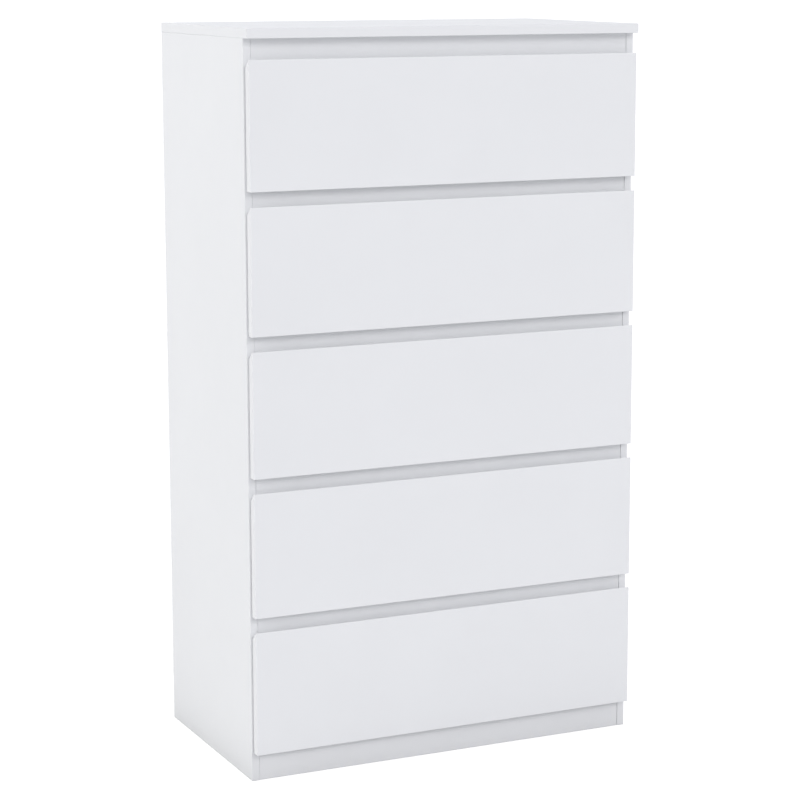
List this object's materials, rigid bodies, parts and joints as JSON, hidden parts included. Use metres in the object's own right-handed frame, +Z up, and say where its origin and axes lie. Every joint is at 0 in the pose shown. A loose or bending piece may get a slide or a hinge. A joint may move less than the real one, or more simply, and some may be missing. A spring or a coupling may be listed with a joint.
{
  "type": "chest of drawers",
  "caption": "Tall white chest of drawers with handle-free fronts that have a bevelled finger edge, running on steel roller runners, with a top flush with its sides.",
  "frame": {"origin": "on the floor, under the middle of the overall box (width and depth over the top panel)", "axes": "+X to the chest's right as seen from the front, +Y to its back, +Z up; the drawers open towards -Y"},
  "size_m": [0.702, 0.4, 1.226],
  "materials": {
    "white_laminate": "white melamine-faced particle board, fine satin",
    "fibreboard": "3 mm fibreboard, white lacquered on the inner face, plain brown on the hidden face",
    "runner_steel": "white powder-coated 1 mm sheet steel",
    "roller_nylon": "natural nylon",
    "cam_zinc": "zinc die-cast cams with zinc-plated steel bolts",
    "screw_zinc": "zinc-plated steel screws"
  },
  "bodies": {
    "carcass": {"top_panel": "white_laminate", "side_panel_left": "white_laminate", "side_panel_right": "white_laminate", "back_panel": "fibreboard", "bottom_panel": "white_laminate", "plinth": "white_laminate", "rear_rail": "white_laminate", "front_rail_1": "white_laminate", "front_rail_2": "white_laminate", "front_rail_3": "white_laminate", "front_rail_4": "white_laminate", "front_rail_5": "white_laminate", "carcass_runners": "runner_steel", "runner_screws": "screw_zinc", "carcass_cam_fittings": "cam_zinc"},
    "drawer_1": {"drawer_1_front": "white_laminate", "drawer_1_side_left": "white_laminate", "drawer_1_side_right": "white_laminate", "drawer_1_back": "white_laminate", "drawer_1_bottom": "fibreboard", "drawer_1_runners": "runner_steel", "drawer_1_cam_fittings": "cam_zinc"},
    "carcass_roller_pair_1": {"carcass_rollers_1": "roller_nylon"},
    "drawer_1_roller_pair": {"drawer_1_rollers": "roller_nylon"},
    "drawer_2": {"drawer_2_front": "white_laminate", "drawer_2_side_left": "white_laminate", "drawer_2_side_right": "white_laminate", "drawer_2_back": "white_laminate", "drawer_2_bottom": "fibreboard", "drawer_2_runners": "runner_steel", "drawer_2_cam_fittings": "cam_zinc"},
    "carcass_roller_pair_2": {"carcass_rollers_2": "roller_nylon"},
    "drawer_2_roller_pair": {"drawer_2_rollers": "roller_nylon"},
    "drawer_3": {"drawer_3_front": "white_laminate", "drawer_3_side_left": "white_laminate", "drawer_3_side_right": "white_laminate", "drawer_3_back": "white_laminate", "drawer_3_bottom": "fibreboard", "drawer_3_runners": "runner_steel", "drawer_3_cam_fittings": "cam_zinc"},
    "carcass_roller_pair_3": {"carcass_rollers_3": "roller_nylon"},
    "drawer_3_roller_pair": {"drawer_3_rollers": "roller_nylon"},
    "drawer_4": {"drawer_4_front": "white_laminate", "drawer_4_side_left": "white_laminate", "drawer_4_side_right": "white_laminate", "drawer_4_back": "white_laminate", "drawer_4_bottom": "fibreboard", "drawer_4_runners": "runner_steel", "drawer_4_cam_fittings": "cam_zinc"},
    "carcass_roller_pair_4": {"carcass_rollers_4": "roller_nylon"},
    "drawer_4_roller_pair": {"drawer_4_rollers": "roller_nylon"},
    "drawer_5": {"drawer_5_front": "white_laminate", "drawer_5_side_left": "white_laminate", "drawer_5_side_right": "white_laminate", "drawer_5_back": "white_laminate", "drawer_5_bottom": "fibreboard", "drawer_5_runners": "runner_steel", "drawer_5_cam_fittings": "cam_zinc"},
    "carcass_roller_pair_5": {"carcass_rollers_5": "roller_nylon"},
    "drawer_5_roller_pair": {"drawer_5_rollers": "roller_nylon"}
  },
  "joints": [
    {"name": "drawer_1_slide", "type": "slide", "parent": "carcass", "child": "drawer_1", "axis": [0, -1, 0], "range_m": [0, 0.265]},
    {"name": "carcass_rollers_1_turn", "type": "hinge", "parent": "carcass", "child": "carcass_roller_pair_1", "pos_m": [0, -0.168, 0.9943], "axis": [1, 0, 0], "continuous": true},
    {"name": "drawer_1_rollers_turn", "type": "hinge", "parent": "drawer_1", "child": "drawer_1_roller_pair", "pos_m": [0, 0.154, 0.9936], "axis": [1, 0, 0], "continuous": true},
    {"name": "drawer_2_slide", "type": "slide", "parent": "carcass", "child": "drawer_2", "axis": [0, -1, 0], "range_m": [0, 0.265]},
    {"name": "carcass_rollers_2_turn", "type": "hinge", "parent": "carcass", "child": "carcass_roller_pair_2", "pos_m": [0, -0.168, 0.7637], "axis": [1, 0, 0], "continuous": true},
    {"name": "drawer_2_rollers_turn", "type": "hinge", "parent": "drawer_2", "child": "drawer_2_roller_pair", "pos_m": [0, 0.154, 0.763], "axis": [1, 0, 0], "continuous": true},
    {"name": "drawer_3_slide", "type": "slide", "parent": "carcass", "child": "drawer_3", "axis": [0, -1, 0], "range_m": [0, 0.265]},
    {"name": "carcass_rollers_3_turn", "type": "hinge", "parent": "carcass", "child": "carcass_roller_pair_3", "pos_m": [0, -0.168, 0.5331], "axis": [1, 0, 0], "continuous": true},
    {"name": "drawer_3_rollers_turn", "type": "hinge", "parent": "drawer_3", "child": "drawer_3_roller_pair", "pos_m": [0, 0.154, 0.5324], "axis": [1, 0, 0], "continuous": true},
    {"name": "drawer_4_slide", "type": "slide", "parent": "carcass", "child": "drawer_4", "axis": [0, -1, 0], "range_m": [0, 0.265]},
    {"name": "carcass_rollers_4_turn", "type": "hinge", "parent": "carcass", "child": "carcass_roller_pair_4", "pos_m": [0, -0.168, 0.3025], "axis": [1, 0, 0], "continuous": true},
    {"name": "drawer_4_rollers_turn", "type": "hinge", "parent": "drawer_4", "child": "drawer_4_roller_pair", "pos_m": [0, 0.154, 0.3018], "axis": [1, 0, 0], "continuous": true},
    {"name": "drawer_5_slide", "type": "slide", "parent": "carcass", "child": "drawer_5", "axis": [0, -1, 0], "range_m": [0, 0.265]},
    {"name": "carcass_rollers_5_turn", "type": "hinge", "parent": "carcass", "child": "carcass_roller_pair_5", "pos_m": [0, -0.168, 0.0719], "axis": [1, 0, 0], "continuous": true},
    {"name": "drawer_5_rollers_turn", "type": "hinge", "parent": "drawer_5", "child": "drawer_5_roller_pair", "pos_m": [0, 0.154, 0.0712], "axis": [1, 0, 0], "continuous": true}
  ],
  "couplings": [
    {"joint": "carcass_rollers_1_turn", "follows": "drawer_1_slide", "rad_per_m": 111.11},
    {"joint": "drawer_1_rollers_turn", "follows": "drawer_1_slide", "rad_per_m": 111.11},
    {"joint": "carcass_rollers_2_turn", "follows": "drawer_2_slide", "rad_per_m": 111.11},
    {"joint": "drawer_2_rollers_turn", "follows": "drawer_2_slide", "rad_per_m": 111.11},
    {"joint": "carcass_rollers_3_turn", "follows": "drawer_3_slide", "rad_per_m": 111.11},
    {"joint": "drawer_3_rollers_turn", "follows": "drawer_3_slide", "rad_per_m": 111.11},
    {"joint": "carcass_rollers_4_turn", "follows": "drawer_4_slide", "rad_per_m": 111.11},
    {"joint": "drawer_4_rollers_turn", "follows": "drawer_4_slide", "rad_per_m": 111.11},
    {"joint": "carcass_rollers_5_turn", "follows": "drawer_5_slide", "rad_per_m": 111.11},
    {"joint": "drawer_5_rollers_turn", "follows": "drawer_5_slide", "rad_per_m": 111.11}
  ]
}
